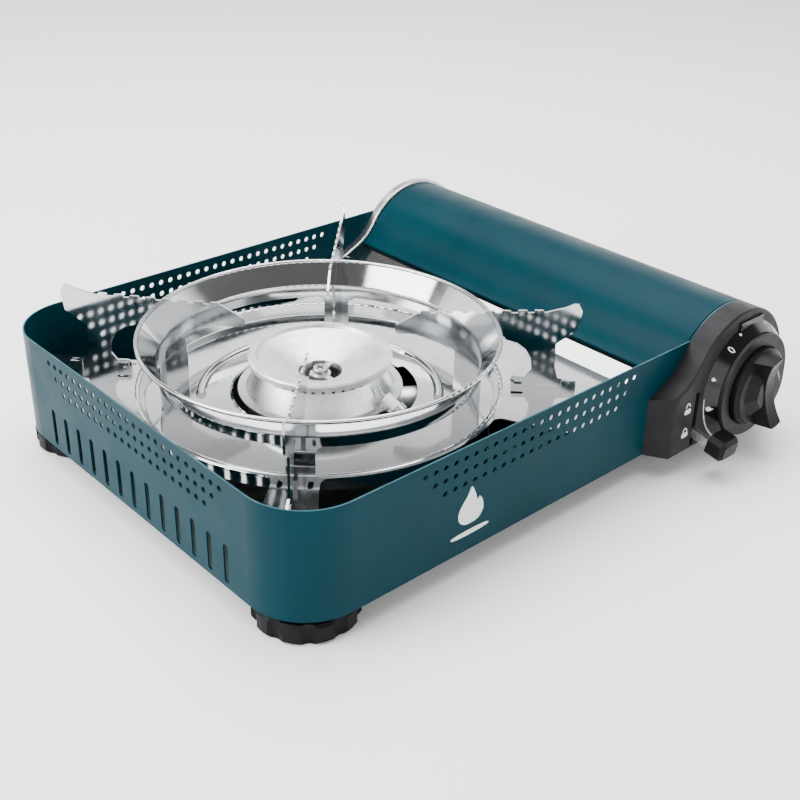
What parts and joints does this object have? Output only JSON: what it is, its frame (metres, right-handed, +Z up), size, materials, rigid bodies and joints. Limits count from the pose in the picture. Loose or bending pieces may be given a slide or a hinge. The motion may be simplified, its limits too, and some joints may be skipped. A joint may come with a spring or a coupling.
{
  "type": "camping stove",
  "caption": "Low portable gas stove with a round burner in a mirror tray, pan supports and a hinged lid over the cartridge bay.",
  "frame": {"origin": "centre of the overall box at table level", "axes": "+X from the burner towards the cartridge bay, +Y towards the back, +Z up"},
  "size_m": [0.332, 0.2854, 0.0943],
  "materials": {
    "teal_paint": "satin baked paint",
    "mirror_steel": "polished stainless",
    "satin_steel": "satin steel",
    "zinc_steel": "zinc plated",
    "cast_alloy": "as cast",
    "brass": "machined",
    "grey_plastic": "moulded, semi-gloss",
    "black_plastic": "moulded",
    "foot_plastic": "moulded",
    "ceramic": "glazed insulator",
    "rubber": "moulded",
    "lead_cover": "silicone cover"
  },
  "bodies": {
    "base": {"base_plate": "zinc_steel", "base_screws": "satin_steel", "bay_partition": "zinc_steel", "body_shell": "teal_paint", "burner_bowl": "satin_steel", "burner_head": "cast_alloy", "burner_screw": "satin_steel", "burner_stand": "zinc_steel", "cartridge_cradle": "zinc_steel", "dial_ring": "black_plastic", "electrode_ceramic": "ceramic", "electrode_clip": "satin_steel", "electrode_wire": "satin_steel", "foot_bushes": "zinc_steel", "gas_jet": "brass", "gas_tube": "brass", "ignition_lead": "lead_cover", "inlet_seal": "rubber", "jet_holder": "zinc_steel", "knob_housing": "grey_plastic", "lever_bracket": "zinc_steel", "lever_pin": "satin_steel", "lid_hinge_rod": "satin_steel", "mixing_tube": "zinc_steel", "piezo_igniter": "black_plastic", "rear_end_cap": "satin_steel", "regulator_body": "cast_alloy", "regulator_cover": "cast_alloy", "tray_posts": "zinc_steel", "valve_panel": "zinc_steel", "wall_screws": "satin_steel", "yoke_guides": "satin_steel"},
    "lid": {"lid": "teal_paint"},
    "knob": {"knob": "black_plastic", "valve_stem": "brass"},
    "lever": {"lever_arm": "satin_steel", "lever_cap": "black_plastic"},
    "yoke": {"cartridge_yoke": "satin_steel"},
    "plunger": {"piezo_plunger": "black_plastic"},
    "tray": {"drip_tray": "mirror_steel", "wind_ring": "mirror_steel", "pan_support_1": "mirror_steel", "pan_support_2": "mirror_steel", "pan_support_3": "mirror_steel", "pan_support_4": "mirror_steel"},
    "foot_wheel_1": {"foot_1": "foot_plastic", "foot_stud_1": "zinc_steel"},
    "foot_wheel_2": {"foot_2": "foot_plastic", "foot_stud_2": "zinc_steel"},
    "foot_wheel_3": {"foot_3": "foot_plastic", "foot_stud_3": "zinc_steel"},
    "foot_wheel_4": {"foot_4": "foot_plastic", "foot_stud_4": "zinc_steel"}
  },
  "joints": [
    {"name": "lid_hinge", "type": "hinge", "parent": "base", "child": "lid", "pos_m": [0.159, 0.01775, 0.025], "axis": [0, 1, 0], "range_deg": [0, 95]},
    {"name": "knob_turn", "type": "hinge", "parent": "base", "child": "knob", "pos_m": [0.1275, -0.10725, 0.0404], "axis": [0, -1, 0], "range_deg": [0, 110]},
    {"name": "lever_lift", "type": "hinge", "parent": "base", "child": "lever", "pos_m": [0.0879, -0.07725, 0.03], "axis": [-1, 0, 0], "range_deg": [0, 22]},
    {"name": "yoke_slide", "type": "slide", "parent": "base", "child": "yoke", "axis": [0, 1, 0], "range_m": [0, 0.005]},
    {"name": "igniter_push", "type": "slide", "parent": "base", "child": "plunger", "axis": [0, 1, 0], "range_m": [0, 0.004], "stiffness_N_per_m": 300},
    {"name": "tray_lift", "type": "slide", "parent": "base", "child": "tray", "axis": [0, 0, 1], "range_m": [0, 0.03]},
    {"name": "foot_turn_1", "type": "hinge", "parent": "base", "child": "foot_wheel_1", "pos_m": [-0.14, -0.08125, 0], "axis": [0, 0, 1], "continuous": true},
    {"name": "foot_turn_2", "type": "hinge", "parent": "base", "child": "foot_wheel_2", "pos_m": [-0.14, 0.11675, 0], "axis": [0, 0, 1], "continuous": true},
    {"name": "foot_turn_3", "type": "hinge", "parent": "base", "child": "foot_wheel_3", "pos_m": [0.134, -0.06525, 0], "axis": [0, 0, 1], "continuous": true},
    {"name": "foot_turn_4", "type": "hinge", "parent": "base", "child": "foot_wheel_4", "pos_m": [0.134, 0.10075, 0], "axis": [0, 0, 1], "continuous": true}
  ],
  "couplings": [
    {"joint": "yoke_slide", "follows": "lever_lift", "m_per_rad": 0.0129}
  ]
}
